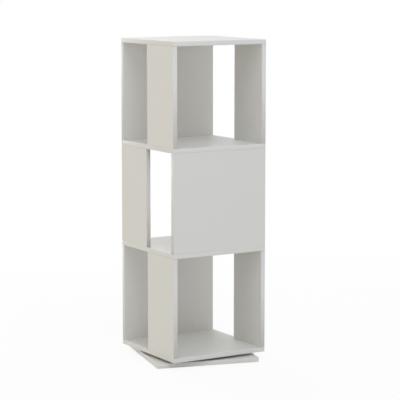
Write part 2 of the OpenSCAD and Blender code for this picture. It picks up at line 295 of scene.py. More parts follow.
class ShelfStudio(bpy.types.PropertyGroup):
    """Camera, floor, surroundings and lamps."""
    camera_place: bpy.props.FloatVectorProperty(
        name="Camera", description="Place of the camera", subtype="TRANSLATION", unit="LENGTH", size=3,
        default=(-2.8979, -4.9381, 1.3117))
    camera_heading: bpy.props.FloatProperty(
        name="Heading", description="Turn of the camera from looking along +Y, towards +X",
        subtype="ANGLE", default=math.radians(30.645))
    camera_tilt: bpy.props.FloatProperty(
        name="Tilt", description="How far the camera looks down", subtype="ANGLE", default=math.radians(7.79))
    focal_length: bpy.props.FloatProperty(
        name="Focal length", description="Focal length of the camera", subtype="DISTANCE_CAMERA", min=20,
        default=155.6)
    floor_size: length("Floor", "Side of the square floor", 12000)
    floor_colour: colour("Floor", "Colour of the floor", "#f2f2f0")
    floor_shading: bpy.props.FloatProperty(
        name="Floor shading", description="Share of the floor's own light and shadow that the camera sees",
        subtype="FACTOR", min=0, max=1, default=0.1)
    shading_reach: length("Shading reach", "Distance at which the floor has become plain white", 3000)
    sky_strength: bpy.props.FloatProperty(
        name="Sky", description="Strength of the even light from all round", min=0, default=0.57)
    key_power: power("Key lamp", "Power of the large lamp above and in front", 57.4)
    back_power: power("Back lamp", "Power of the large lamp behind", 95)
    left_power: power("Left lamp", "Power of the warm lamp on the left", 22.6)
    right_power: power("Right lamp", "Power of the lamp on the right", 25)
    sky_colour: colour("Sky", "Colour of the even light", "#ffffff")
    key_colour: colour("Key", "Colour of the lamp above and in front", "#ebf3ff")
    back_colour: colour("Back", "Colour of the lamp behind", "#ffffff")
    left_colour: colour("Left", "Colour of the lamp on the left", "#ffdb83")
    right_colour: colour("Right", "Colour of the lamp on the right", "#ffffff")


# Materials

def wire(tree, node, inputs):
    """Fills a node's inputs with values or with other nodes' outputs."""
    for socket, source in inputs.items():
        if isinstance(source, bpy.types.NodeSocket):
            tree.links.new(source, node.inputs[socket])
        else:
            node.inputs[socket].default_value = source


def add(tree, kind, inputs=None, **settings):
    """Adds a node with its settings, and fills its inputs."""
    made = tree.nodes.new(kind)
    for name, value in settings.items():
        setattr(made, name, value)
    wire(tree, made, inputs or {})
    return made


def opaque(rgb):
    """A colour with full alpha, as a colour socket takes it."""
    return (*rgb, 1.0)


def finish(name, make, *values):
    """A material that is made once and then used again.

    It is made on a surface, which is its tree, its shader and the object's own coordinates.
    """
    made = bpy.data.materials.get(name)
    if made is None:
        made = bpy.data.materials.new(name)
        made.use_nodes = True
        tree = made.node_tree
        place = add(tree, "ShaderNodeTexCoord").outputs["Object"]
        make((tree, tree.nodes["Principled BSDF"], place), *values)
    return made


def grained(surface, rgb, grain, rough, depth=0.0, detail=2.0, strength=1.0, **even):
    """Gives a surface one colour, and a grain of a real size that varies its roughness and its height."""
    tree, shader, place = surface
    grains = add(tree, "ShaderNodeTexNoise", {"Vector": place, "Scale": 1 / grain, "Detail": detail})
    height = grains.outputs["Fac"]
    sheen = add(tree, "ShaderNodeMapRange", {"Value": height, "To Min": rough[0], "To Max": rough[1]})
    wire(tree, shader, {"Base Color": opaque(rgb), "Roughness": sheen.outputs["Result"], **even})
    if depth:
        relief = add(tree, "ShaderNodeBump", {"Height": height, "Distance": depth, "Strength": strength})
        wire(tree, shader, {"Normal": relief.outputs["Normal"]})


def melamine(surface, boards):
    """Melamine film pressed against a matt plate: a broad soft sheen over a fine even grain."""
    # The real grain is about 0.5 mm, too fine to show, so it is drawn as coarse as it needs to show
    grained(surface, boards.face_colour, grain=4 * MM, rough=(0.38, 0.5), depth=0.05 * MM, detail=3.0,
            strength=0.6, IOR=1.5)
    tree, shader, place = surface
    patch = 160 * MM
    drift = add(tree, "ShaderNodeTexNoise", {"Vector": place, "Scale": 1 / patch, "Detail": 2.0})
    tone = add(tree, "ShaderNodeMix", {
        MIX_FACTOR: drift.outputs["Fac"], MIX_FIRST: opaque(boards.face_colour),
        MIX_SECOND: opaque(boards.face_tint)}, data_type="RGBA")
    wire(tree, shader, {"Base Color": tone.outputs[MIXED]})


def edging(surface, boards):
    """ABS strip, extruded and buffed after trimming: a little smoother and cleaner than the faces."""
    # Trimming marks every few millimetres across the strip
    grained(surface, boards.edging_colour, grain=6 * MM, rough=(0.36, 0.48), depth=0.03 * MM, strength=0.5,
            IOR=1.53)


def glue_line(surface, boards):
    """Hot-melt glue in the hairline between a face and its edging: a dull, slightly darker line."""
    tree, shader, place = surface
    crumb = 1.5 * MM
    crumbs = add(tree, "ShaderNodeTexNoise", {"Vector": place, "Scale": 1 / crumb})
    tone = add(tree, "ShaderNodeMix", {
        MIX_FACTOR: crumbs.outputs["Fac"], MIX_FIRST: opaque(boards.joint_colour),
        MIX_SECOND: opaque(boards.edging_colour)}, data_type="RGBA")
    wire(tree, shader, {"Base Color": tone.outputs[MIXED], "Roughness": 0.7})


def raw_chipboard(surface, boards):
    """Sawn and bored chipboard: pressed wood chips of many shades, rough and open."""
    tree, shader, place = surface
    chip, depth = 2.5 * MM, 0.3 * MM
    chips = add(tree, "ShaderNodeTexVoronoi", {"Vector": place, "Scale": 1 / chip, "Randomness": 1.0})
    shade = add(tree, "ShaderNodeSeparateColor", {"Color": chips.outputs["Color"]})
    tone = add(tree, "ShaderNodeMix", {
        MIX_FACTOR: shade.outputs["Red"], MIX_FIRST: opaque(boards.chip_light),
        MIX_SECOND: opaque(boards.chip_dark)}, data_type="RGBA")
    relief = add(tree, "ShaderNodeBump", {"Height": chips.outputs["Distance"], "Distance": depth})
    wire(tree, shader, {
        "Base Color": tone.outputs[MIXED], "Roughness": 0.9, "Normal": relief.outputs["Normal"]})


def zinc_plate(surface, colours):
    """Bright zinc-plated steel: metal with a fine cloudy grain from the bath."""
    grained(surface, colours.zinc, grain=3 * MM, rough=(0.22, 0.42), depth=0.02 * MM, detail=4.0,
            Metallic=1.0)


def cast_zinc(surface, colours):
    """Die-cast zinc alloy: duller than plate, with the pitted skin of the mould."""
    grained(surface, colours.cams, grain=0.8 * MM, rough=(0.4, 0.6), depth=0.04 * MM, detail=3.0,
            Metallic=1.0)


def ball_steel(surface, colours):
    """Hardened and polished bearing steel under a smeared film of grease."""
    grained(surface, colours.balls, grain=1.2 * MM, rough=(0.06, 0.2), Metallic=1.0)


def moulded(surface, rgb, rough):
    """Moulded plastic: an even colour with the fine spark-eroded grain of its mould."""
    grained(surface, rgb, grain=0.7 * MM, rough=rough, depth=0.03 * MM, IOR=1.5)


def beech(surface, colours):
    """Turned beech: fine grain along the dowel with short dark flecks."""
    tree, shader, place = surface
    grain, stretch, depth = 0.6 * MM, 12, 0.05 * MM
    along = add(tree, "ShaderNodeMapping", {"Vector": place, "Scale": (stretch, stretch, 1.0)})
    flecks = add(tree, "ShaderNodeTexNoise", {
        "Vector": along.outputs["Vector"], "Scale": 1 / (grain * stretch), "Detail": 3.0}).outputs["Fac"]
    tone = add(tree, "ShaderNodeMix", {
        MIX_FACTOR: flecks, MIX_FIRST: opaque(colours.light_beech), MIX_SECOND: opaque(colours.dark_beech)},
        data_type="RGBA")
    relief = add(tree, "ShaderNodeBump", {"Height": flecks, "Distance": depth})
    wire(tree, shader, {
        "Base Color": tone.outputs[MIXED], "Roughness": 0.62, "Normal": relief.outputs["Normal"]})


def board_finishes(boards):
    """The finishes of a coated board, in the order of FACE, EDGING, JOINT and CHIPS."""
    return [finish("White melamine-faced chipboard", melamine, boards),
            finish("White ABS edging", edging, boards),
            finish("Hot-melt glue line", glue_line, boards),
            finish("Raw chipboard", raw_chipboard, boards)]


def zinc_finish(colours):
    """The finish of the bearing's plates, the screws and the bolts."""
    return finish("Zinc-plated steel", zinc_plate, colours)


def plastic_finish(colours):
    """The finish of the cover caps and the glides."""
    return finish("White polypropylene", moulded, colours.plastic, (0.38, 0.5))


# Meshes

def new_object(name, data):
    """A new object at the origin of the scene."""
    made = bpy.data.objects.new(name, data)
    bpy.context.scene.collection.objects.link(made)
    return made


def new_piece(name, shape, materials):
    """An object at the origin with the mesh that shape holds."""
    bmesh.ops.recalc_face_normals(shape, faces=shape.faces)
    mesh = bpy.data.meshes.new(name)
    shape.to_mesh(mesh)
    shape.free()
    for material in materials:
        mesh.materials.append(material)
    return new_object(name, mesh)


def plain_mesh(piece):
    """Turns a piece and its modifiers into a plain mesh."""
    graph = bpy.context.evaluated_depsgraph_get()
    mesh = bpy.data.meshes.new_from_object(piece.evaluated_get(graph), depsgraph=graph)
    piece.modifiers.clear()
    piece.data = mesh
    return piece


def arc(cx, cy, radius, start, end, steps):
    """Points on an arc, with its angles in degrees."""
    angles = [math.radians(start + (end - start) * i / steps) for i in range(steps + 1)]
    return [(cx + radius * math.cos(a), cy + radius * math.sin(a)) for a in angles]


def rounded_square(half, radius, steps):
    """A square with rounded corners, as points."""
    points, inner = [], half - radius
    for quarter, (sx, sy) in enumerate(((1, 1), (-1, 1), (-1, -1), (1, -1))):
        start = 90 * quarter
        points += arc(sx * inner, sy * inner, radius, start, start + 90, steps)
    return points


def slab_rings(thickness, boards):
    """The rings round a level board, from its top: how far in, how far down, and the finish below each."""
    r, e, g = boards.arris, boards.edging, boards.joint_width
    round_over = [(x, 2 * r - y, EDGING) for x, y in arc(r, r, r, 90, 180, boards.arc_steps)]
    top = [(e + g, 0.0, JOINT), (e + g / 2, boards.joint_depth, JOINT), (e, 0.0, EDGING)] + round_over
    bands = [EDGING] * len(round_over) + [JOINT, JOINT, FACE]
    return top + [(inset, thickness - drop, band) for (inset, drop, _), band in zip(reversed(top), bands)]


def ring_of_faces(shape, first, second, finishes):
    """Faces all round between two rings of points, each with its finish, and smooth on the edging."""
    for i, number in enumerate(finishes):
        j = (i + 1) % len(finishes)
        face = shape.faces.new((first[i], first[j], second[j], second[i]))
        face.material_index = number
        face.smooth = number == EDGING


def level_slab(name, half, top_z, thickness, boards):
    """A square coated board with edging on all four sides."""
    shape = bmesh.new()
    rings = []
    for inset, drop, band in slab_rings(thickness, boards):
        corner = max(boards.arris - inset, LEAST_CORNER)
        loop = rounded_square(half - inset, corner, boards.arc_steps)
        rings.append(([shape.verts.new((x, y, top_z - drop)) for x, y in loop], band))
    for (upper, band), (lower, _) in zip(rings, rings[1:]):
        ring_of_faces(shape, upper, lower, [band] * len(upper))
    for ring in (rings[0][0], rings[-1][0]):
        shape.faces.new(ring).material_index = FACE
    return new_piece(name, shape, board_finishes(boards))


def panel_outline(half_w, half_t, boards):
    """Outline of an upright panel seen from above, with the finish that follows each point."""
    r, e, g = boards.arris, boards.edging, boards.joint_width
    lip, dip = half_w - e, half_t - boards.joint_depth
    end = [((lip - g, -half_t), JOINT), ((lip - g / 2, -dip), JOINT), ((lip, -half_t), EDGING)]
    end += [(p, EDGING) for p in arc(half_w - r, r - half_t, r, -90, 0, boards.arc_steps)]
    end += [(p, EDGING) for p in arc(half_w - r, half_t - r, r, 0, 90, boards.arc_steps)]
    end += [((lip, half_t), JOINT), ((lip - g / 2, dip), JOINT), ((lip - g, half_t), FACE)]
    return end + [((-x, -y), band) for (x, y), band in end]


def upright_panel(name, node, boards):
    """A coated panel with edging on its two upright edges and sawn ends."""
    box = box_of(node)
    middle, thin = box.middle, box.thin_axis
    shape = bmesh.new()
    outline = panel_outline(box.size[1 - thin] / 2, box.size[thin] / 2, boards)
    points = [(x, y) if thin == 1 else (-y, x) for (x, y), _ in outline]
    ends = [[shape.verts.new((middle.x + x, middle.y + y, z)) for x, y in points]
            for z in (box.low.z, box.high.z)]
    ring_of_faces(shape, *ends, [band for _, band in outline])
    for ring in ends:
        shape.faces.new(ring).material_index = CHIPS
    return new_piece(name, shape, board_finishes(boards))


def settle(piece, body, slot, *nodes):
    """Lets a finished piece ride on its body and stand for its CAD nodes."""
    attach(piece, body)
    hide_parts(*nodes)


# Holes, each by its two end points and its radius

def upright_hole(spot, start, end, diameter):
    """A hole along Z at a spot, from one height to another."""
    return Vector((spot.x, spot.y, start)), Vector((spot.x, spot.y, end)), diameter / 2


def pin_holes(tier, bores):
    """Upright holes of a tier's joints: for the dowels, the bolts' threads and the bolts' shanks."""
    panel = box_of(UPRIGHTS[tier][0])
    reach = min(cam.middle.z for cam in solids_of(tier + "_cams")) - panel.low.z
    room = bores.end_room
    holes = []
    for dowel in solids_of(tier + "_dowels"):
        bore = dowel.size.x + 2 * bores.fit
        holes.append(upright_hole(dowel.middle, dowel.low.z - room, dowel.high.z + room, bore))
    for bolt in solids_of(tier + "_cam_bolts"):
        seam, tip, up = panel.high.z, bolt.high.z, -1
        if bolt.low.z < panel.low.z:
            seam, tip, up = panel.low.z, bolt.low.z, 1
        wide = up * reach
        holes.append(upright_hole(bolt.middle, tip - up * room, seam, bores.thread))
        holes.append(upright_hole(bolt.middle, seam - wide * BORE_OVERLAP, seam + wide, bores.bolt))
    return holes


def cam_holes(tier, bores):
    """Level holes of a tier's cams, from the inner faces of its panels."""
    holes = []
    for cam in solids_of(tier + "_cams"):
        axis = cam.thin_axis
        near, far = cam.middle, cam.middle
        inner, outer, inward = (cam.low, cam.high, -1) if near[axis] > 0 else (cam.high, cam.low, 1)
        near[axis] = inner[axis] + inward * 2 * bores.end_room
        far[axis] = outer[axis]
        holes.append((near, far, cam.size.z / 2 + bores.fit))
    return holes


def within(holes, node):
    """The holes that reach into a CAD node's box."""
    box = box_of(node)
    found = []
    for hole in holes:
        start, end, _ = hole
        spans = zip(map(min, start, end), map(max, start, end), box.low, box.high)
        if all(last > low - TOUCHING and first < high + TOUCHING for first, last, low, high in spans):
            found.append(hole)
    return found


def bored(piece, groups, sides):
    """Bores groups of holes in a piece, one group after another."""
    for holes in groups:
        shape = bmesh.new()
        for start, end, radius in holes:
            along = end - start
            place = Matrix.Translation((start + end) / 2) @ along.to_track_quat("Z", "Y").to_matrix().to_4x4()
            bmesh.ops.create_cone(shape, cap_ends=True, segments=sides, radius1=radius, radius2=radius,
                                  depth=along.length, matrix=place)
        for face in shape.faces:
            face.material_index = CHIPS
            # Only the faces round a hole have four corners, and its ends stay flat
            face.smooth = len(face.verts) == 4
        cutter = new_piece("cutter", shape, piece.data.materials)
        cut = piece.modifiers.new("Bore", "BOOLEAN")
        cut.operation = "DIFFERENCE"
        cut.solver = "EXACT"
        cut.object = cutter
        plain_mesh(piece)
        bpy.data.objects.remove(cutter)
    return piece


# Geometry Nodes

def start_tree(name, settings, lengths, counts=()):
    """A Geometry Nodes tree with an input for each setting, length and count, and what these inputs give."""
    tree = bpy.data.node_groups.new(name, "GeometryNodeTree")
    tree.interface.new_socket("Geometry", in_out="OUTPUT", socket_type="NodeSocketGeometry")
    kinds = {"Geometry": "Geometry", "Material": "Material", **dict.fromkeys(lengths, "Float"),
             **dict.fromkeys(counts, "Int")}
    for key in settings.__annotations__:
        setting = settings.bl_rna.properties[key]
        # FLOAT or INT, which as Float or Int is also the kind of its socket
        kinds[setting.name] = setting.type.title()
    for label, kind in kinds.items():
        tree.interface.new_socket(label, in_out="INPUT", socket_type="NodeSocket" + kind)
    return tree, add(tree, "NodeGroupInput").outputs


def end_tree(tree, geometry, inputs):
    """Ends a tree with real faces of one material."""
    real = add(tree, "GeometryNodeRealizeInstances", {"Geometry": geometry})
    done = add(tree, "GeometryNodeSetMaterial", {"Geometry": real.outputs[0], "Material": inputs["Material"]})
    add(tree, "NodeGroupOutput", {"Geometry": done.outputs[0]})
    return tree


def sum_of(tree, *terms):
    """The sum of numbers and outputs; a pair of a term and a factor is multiplied first."""
    total = 0.0
    for term in terms:
        value, factor = term if isinstance(term, tuple) else (term, 1.0)
        step = add(tree, "ShaderNodeMath", {0: value, 1: factor, 2: total}, operation="MULTIPLY_ADD")
        total = step.outputs[0]
    return total


def radii(tree, size, *labels):
    """Half of each diameter."""
    return [sum_of(tree, (size[label], 0.5)) for label in labels]


def crisp_edges(tree, geometry):
    """Smooth faces that keep their sharp edges."""
    steep = add(tree, "GeometryNodeInputMeshEdgeAngle").outputs["Unsigned Angle"]
    sharp = add(tree, "FunctionNodeCompare", {0: steep, 1: CRISP_ANGLE}, data_type="FLOAT",
                operation="GREATER_THAN")
    smooth = add(tree, "GeometryNodeSetShadeSmooth", {
        "Geometry": geometry, "Shade Smooth": True}, domain="FACE")
    crisp = add(tree, "GeometryNodeSetShadeSmooth", {
        "Geometry": smooth.outputs[0], "Selection": sharp.outputs[0], "Shade Smooth": False}, domain="EDGE")
    return crisp.outputs[0]


def fluted(tree, angle, number, depth):
    """The share of its radius that a dowel keeps at an angle, less in each flute."""
    value = angle
    for operation, other in (("MULTIPLY", number), ("COSINE", 0.0), ("MAXIMUM", 0.0), ("MULTIPLY", depth)):
        value = add(tree, "ShaderNodeMath", {0: value, 1: other}, operation=operation).outputs[0]
    return add(tree, "ShaderNodeMath", {0: 1.0, 1: value}, operation="SUBTRACT").outputs[0]


def turned(tree, outline, sides, flutes=None):
    """A solid turned on the Z axis, from (radius, height) pairs from its high end to its low end.

    A radius or a height is one value, or a list of terms to be added up. Flutes, where given, are their
    number and their depth as a share of the radius.
    """
    ring = add(tree, "FunctionNodeIntegerMath", {0: sides, 1: 1}, operation="ADD").outputs[0]
    sheet = add(tree, "GeometryNodeMeshGrid", {"Vertices X": len(outline), "Vertices Y": ring})
    number = add(tree, "GeometryNodeInputIndex").outputs[0]
    row = add(tree, "FunctionNodeIntegerMath", {0: number, 1: ring}, operation="DIVIDE")
    step = add(tree, "FunctionNodeIntegerMath", {0: number, 1: ring}, operation="MODULO")
    share = add(tree, "ShaderNodeMath", {0: step.outputs[0], 1: sides}, operation="DIVIDE").outputs[0]
    angle = add(tree, "ShaderNodeMath", {0: share, 1: 2 * math.pi}, operation="MULTIPLY").outputs[0]
    kept = fluted(tree, angle, *flutes) if flutes else 1.0
    spots = add(tree, "GeometryNodeIndexSwitch", data_type="VECTOR")
    # The switch starts with two items, and the outline's other points each need one more
    for _ in outline[2:]:
        spots.index_switch_items.new()
    wire(tree, spots, {0: row.outputs[0]})
    for i, point in enumerate(outline):
        radius, height = (sum_of(tree, *part) if isinstance(part, list) else part for part in point)
        across = add(tree, "ShaderNodeMath", {0: radius, 1: kept}, operation="MULTIPLY").outputs[0]
        spot = add(tree, "ShaderNodeCombineXYZ", {"X": across, "Z": height})
        wire(tree, spots, {i + 1: spot.outputs[0]})
    place = add(tree, "ShaderNodeVectorRotate", {"Vector": spots.outputs[0], "Angle": angle},
                rotation_type="Z_AXIS")
    shape = add(tree, "GeometryNodeSetPosition", {"Geometry": sheet.outputs[0], "Position": place.outputs[0]})
    closed = add(tree, "GeometryNodeMergeByDistance", {"Geometry": shape.outputs[0], "Distance": CLOSING})
    return crisp_edges(tree, closed.outputs[0])


def ridge_radius(tree, size):
    """Radius of a thread's three-sided ridge: half of the thread's height above its core."""
    return sum_of(tree, (size["Thread"], 0.25), (size["Core"], -0.25))


def threaded(tree, body, size, start, end):
    """A body with a sharp ridge wound round its core, from one height to another."""
    rise = sum_of(tree, end, (start, -1.0))
    turns = add(tree, "ShaderNodeMath", {0: rise, 1: size["Pitch"]}, operation="DIVIDE").outputs[0]
    ridge = ridge_radius(tree, size)
    middle = sum_of(tree, (size["Core"], 0.5), (ridge, RIDGE_SEAT))
    path = add(tree, "GeometryNodeCurveSpiral", {
        "Resolution": size["Thread sides"], "Rotations": turns, "Start Radius": middle, "End Radius": middle,
        "Height": rise})
    section = add(tree, "GeometryNodeCurvePrimitiveCircle", {"Resolution": 3, "Radius": ridge})
    wound = add(tree, "GeometryNodeCurveToMesh", {
        "Curve": path.outputs[0], "Profile Curve": section.outputs[0], "Fill Caps": True})
    lift = add(tree, "ShaderNodeCombineXYZ", {"Z": start})
    thread = add(tree, "GeometryNodeTransform", {
        "Geometry": wound.outputs[0], "Translation": lift.outputs[0]})
    both = add(tree, "GeometryNodeJoinGeometry", {"Geometry": thread.outputs[0]})
    wire(tree, both, {"Geometry": body})
    return both.outputs[0]


def at_places(tree, shape, inputs):
    """The shape at each point, its Z axis along the point's aim."""
    aim = add(tree, "GeometryNodeInputNamedAttribute", {"Name": AIM}, data_type="FLOAT_VECTOR").outputs[0]
    turn = add(tree, "FunctionNodeAlignRotationToVector", {"Vector": aim}, axis="Z").outputs[0]
    return add(tree, "GeometryNodeInstanceOnPoints", {
        "Points": inputs["Geometry"], "Instance": shape, "Rotation": turn}).outputs[0]


def cover_cap_tree(caps):
    """Cover caps: a thin crowned disc with a soft rim, on a stem."""
    tree, size = start_tree("Cover cap", caps, ("Diameter", "Length"))
    half, stem = radii(tree, size, "Diameter", "Stem")
    end, lip, crown = size["Length"], size["Lip"], size["Crown"]
    bevelled_stem = [(0.0, end), ([(stem, 0.8)], end), (stem, [end, (stem, -0.25)]), (stem, lip)]
    soft_rim = [(half, lip), (half, [(lip, 0.78)]), ([half, (lip, -0.12)], [(lip, 0.5)]),
                ([half, (lip, -0.45)], [crown, (lip, 0.06)])]
    crowned_face = [([(half, 0.85)], [(crown, 0.72)]), ([(half, 0.6)], [(crown, 0.36)]),
                    ([(half, 0.3)], [(crown, 0.09)]), (0.0, 0.0)]
    cap = turned(tree, bevelled_stem + soft_rim + crowned_face, size["Sides"])
    return end_tree(tree, at_places(tree, cap, size), size)


def dowel_tree(dowels):
    """Dowels with bevelled ends and flutes for the glue."""
    tree, size = start_tree("Fluted dowel", dowels, ("Diameter", "Length"))
    [half] = radii(tree, size, "Diameter")
    end, bevel = size["Length"], size["Bevel"]
    depth = add(tree, "ShaderNodeMath", {0: size["Flute depth"], 1: half}, operation="DIVIDE").outputs[0]
    neck = [half, (bevel, -1.0)]
    outline = [(0.0, end), (neck, end), (half, [end, (bevel, -1.0)]), (half, bevel), (neck, 0.0), (0.0, 0.0)]
    sides = add(tree, "FunctionNodeIntegerMath", {
        0: size["Flutes"], 1: FACES_PER_FLUTE}, operation="MULTIPLY")
    dowel = turned(tree, outline, sides.outputs[0], flutes=(size["Flutes"], depth))
    return end_tree(tree, at_places(tree, dowel, size), size)


def cam_bolt_tree(bolts):
    """Cam bolts: a wound thread, a plain shank, a neck and a bevelled head."""
    tree, size = start_tree("Cam bolt", bolts, ("Length",))
    core, shank, neck, head = radii(tree, size, "Core", "Shank", "Neck", "Head")
    end, seam = size["Length"], size["Thread length"]
    head_low = sum_of(tree, end, (size["Head length"], -1.0))
    neck_low = sum_of(tree, head_low, (size["Neck length"], -1.0))
    bevel = sum_of(tree, (head, 0.18))
    bevelled_head = [(0.0, end), ([head, (bevel, -1.0)], end), (head, [end, (bevel, -1.0)]), (head, head_low)]
    neck_and_shank = [(neck, head_low), (neck, neck_low), (shank, [neck_low, (bevel, -1.6)]), (shank, seam)]
    pointed_core = [(core, seam), (core, [(core, 0.7)]), ([(core, 0.55)], 0.0), (0.0, 0.0)]
    body = turned(tree, bevelled_head + neck_and_shank + pointed_core, size["Sides"])
    thread_end = sum_of(tree, seam, (ridge_radius(tree, size), -1.0))
    bolt = threaded(tree, body, size, sum_of(tree, (core, 0.5)), thread_end)
    return end_tree(tree, at_places(tree, bolt, size), size)


def bearing_screw_tree(screws):
    """Pan-head screws with a cross in the head, a wound thread and a point."""
    tree, size = start_tree("Bearing screw", screws, ("Length", "Head"))
    core, head = radii(tree, size, "Core", "Head")
    end, under, cross = size["Length"], size["Head length"], size["Cross"]
    shoulder = sum_of(tree, end, (size["Point"], -1.0))
    point_and_core = [(0.0, end), (core, shoulder), (core, under)]
    domed_head = [(head, under), ([(head, 0.97)], [(under, 0.62)]), ([(head, 0.84)], [(under, 0.32)]),
                  ([(head, 0.5)], [(under, 0.06)]), (0.0, 0.0)]
    body = turned(tree, point_and_core + domed_head, size["Sides"])
    arm = sum_of(tree, (head, CROSS_LENGTH))
    # Half of each block lies outside the head
    deep = sum_of(tree, (under, 2 * CROSS_DEPTH))
    for sides in ((arm, cross, deep), (cross, arm, deep)):
        block = add(tree, "ShaderNodeCombineXYZ", dict(zip("XYZ", sides)))
        slot = add(tree, "GeometryNodeMeshCube", {"Size": block.outputs[0]})
        cut = add(tree, "GeometryNodeMeshBoolean", {"Mesh 1": body, "Mesh 2": slot.outputs[0]},
                  operation="DIFFERENCE", solver="EXACT")
        body = cut.outputs[0]
    thread_start = sum_of(tree, under, (ridge_radius(tree, size), 2.0))
    screw = threaded(tree, crisp_edges(tree, body), size, thread_start, shoulder)
    return end_tree(tree, at_places(tree, screw, size), size)


def glide_tree(glides):
    """Nail-on glides: a pad with a soft lower rim, on a pointed nail."""
    tree, size = start_tree("Nail-on glide", glides, ("Diameter", "Length"))
    half, nail = radii(tree, size, "Diameter", "Nail")
    end, rim, pad = size["Length"], size["Rim"], size["Pad"]
    pointed_nail = [(0.0, end), (nail, [end, (nail, -2.0)]), (nail, pad)]
    upper_rim = [([half, (rim, -0.3)], pad), (half, [pad, (rim, -0.3)])]
    lower_rim = [([half, (rim, x - 1)], [rim, (rim, -y)]) for x, y in arc(0, 0, 1, 0, 90, RIM_STEPS)]
    glide = turned(tree, pointed_nail + upper_rim + lower_rim + [(0.0, 0.0)], size["Sides"])
    return end_tree(tree, at_places(tree, glide, size), size)


def ball_ring_tree(balls):
    """Balls evenly round a circle."""
    tree, size = start_tree("Ball ring", balls, ("Circle", "Height", "Ball"), ("Balls",))
    circle_radius, ball_radius = radii(tree, size, "Circle", "Ball")
    circle = add(tree, "GeometryNodeMeshCircle", {"Vertices": size["Balls"], "Radius": circle_radius})
    lift = add(tree, "ShaderNodeCombineXYZ", {"Z": size["Height"]})
    ring = add(tree, "GeometryNodeTransform", {"Geometry": circle.outputs[0], "Translation": lift.outputs[0]})
    around = add(tree, "FunctionNodeIntegerMath", {0: size["Steps"], 1: 2}, operation="MULTIPLY").outputs[0]
    ball = add(tree, "GeometryNodeMeshUVSphere", {
        "Segments": around, "Rings": size["Steps"], "Radius": ball_radius})
    smooth = add(tree, "GeometryNodeSetShadeSmooth", {"Geometry": ball.outputs[0], "Shade Smooth": True})
    ringed = add(tree, "GeometryNodeInstanceOnPoints", {
        "Points": ring.outputs[0], "Instance": smooth.outputs[0]})
    return end_tree(tree, ringed.outputs[0], size)


def grown(name, places, tree, settings, **sizes):
    """The plain mesh that a tree grows at places, each a point and the direction that its fitting faces."""
    mesh = bpy.data.meshes.new(name)
    mesh.from_pydata([point for point, _ in places], [], [])
    aims = mesh.attributes.new(AIM, "FLOAT_VECTOR", "POINT")
    for item, (_, aim) in zip(aims.data, places):
        item.vector = aim
    piece = new_object(name, mesh)
    work = piece.modifiers.new(tree.name, "NODES")
    work.node_group = tree
    for key in settings.__annotations__:
        sizes[settings.bl_rna.properties[key].name] = getattr(settings, key)
    for item in tree.interface.items_tree:
        if item.in_out == "INPUT" and item.name in sizes:
            work[item.identifier] = sizes[item.name]
    return plain_mesh(piece)


def seats(node, aim_of):
    """Where each solid of a CAD node starts, and its aim, and the size of one of them."""
    found = []
    solids = solids_of(node)
    for solid in solids:
        aim = Vector(aim_of(solid))
        back = Vector(a * s / 2 for a, s in zip(aim, solid.size))
        found.append((solid.middle - back, aim))
    return found, solids[-1].size


def upwards(solid):
    """Straight up, whatever the solid."""
    return (0, 0, 1)


def outwards(solid):
    """Along the level axis in which a flat solid is thinner, away from the middle of the shelf unit."""
    return [math.copysign(1, solid.middle[i]) if i == solid.thin_axis else 0 for i in range(3)]


# Operators

class SHELF_OT_level_boards(bpy.types.Operator):
    """Make the four level boards, bored for their dowels and bolts"""
    bl_idname = "shelf.level_boards"
    bl_label = "Level Boards"

    def execute(self, context):
        boards, bores = context.scene.shelf_boards, context.scene.shelf_bores
        pins = [hole for tier in TIERS for hole in pin_holes(tier, bores)]
        for node in LEVEL_BOARDS:
            box = box_of(node)
            piece = level_slab(node + ".coated", box.high.x, box.high.z, box.size.z, boards)
            holes = within(pins, node)
            if node == "bottom_board":
                room = bores.end_room
                holes += [upright_hole(screw.middle, box.low.z - MM, screw.high.z + room, bores.screw)
                          for screw in solids_of("tower_screws")]
            bored(piece, [holes], bores.sides)
            settle(piece, "tower", "white_board", node)
        return {"FINISHED"}


class SHELF_OT_upright_panels(bpy.types.Operator):
    """Make the nine upright panels, bored for their dowels, bolts and cams"""
    bl_idname = "shelf.upright_panels"
    bl_label = "Upright Panels"

    def execute(self, context):
        boards, bores = context.scene.shelf_boards, context.scene.shelf_bores
        for tier, nodes in UPRIGHTS.items():
            pins, cams = pin_holes(tier, bores), cam_holes(tier, bores)
            for node in nodes:
                piece = upright_panel(node + ".coated", node, boards)
                bored(piece, [within(pins, node), within(cams, node)], bores.sides)
                settle(piece, "tower", "white_board", node)
        return {"FINISHED"}


class SHELF_OT_base_plate(bpy.types.Operator):
    """Make the base plate, bored for its screws and nails and for the screwdriver"""
    bl_idname = "shelf.base_plate"
    bl_label = "Base Plate"

    def execute(self, context):
        boards, bores = context.scene.shelf_boards, context.scene.shelf_bores
        box, room = box_of("base_plate"), bores.end_room
        turn = turn_of_base()
        half = box.high.x / (math.cos(turn) + abs(math.sin(turn)))
        piece = level_slab("base_plate.coated", half, box.high.z, box.size.z, boards)
        piece.data.transform(Matrix.Rotation(turn, 4, "Z"))
        holes = [upright_hole(screw.middle, screw.low.z - room, box.high.z + MM, bores.screw)
                 for screw in solids_of("base_screws")]
        holes += [upright_hole(glide.middle, box.low.z - MM, glide.high.z + room, bores.nail)
                  for glide in solids_of("floor_glides")]
        # The screwdriver hole lies on the base plate's own diagonal, as far out as the tower's screws
        reach = solids_of("tower_screws")[0].middle.xy.length
        spot = Matrix.Rotation(turn, 3, "Z") @ Vector((reach, reach, 0)) / math.sqrt(2)
        holes.append(upright_hole(spot, box.low.z - MM, box.high.z + MM, bores.access))
        bored(piece, [holes], bores.sides)
        settle(piece, "base", "white_board", "base_plate")
        return {"FINISHED"}


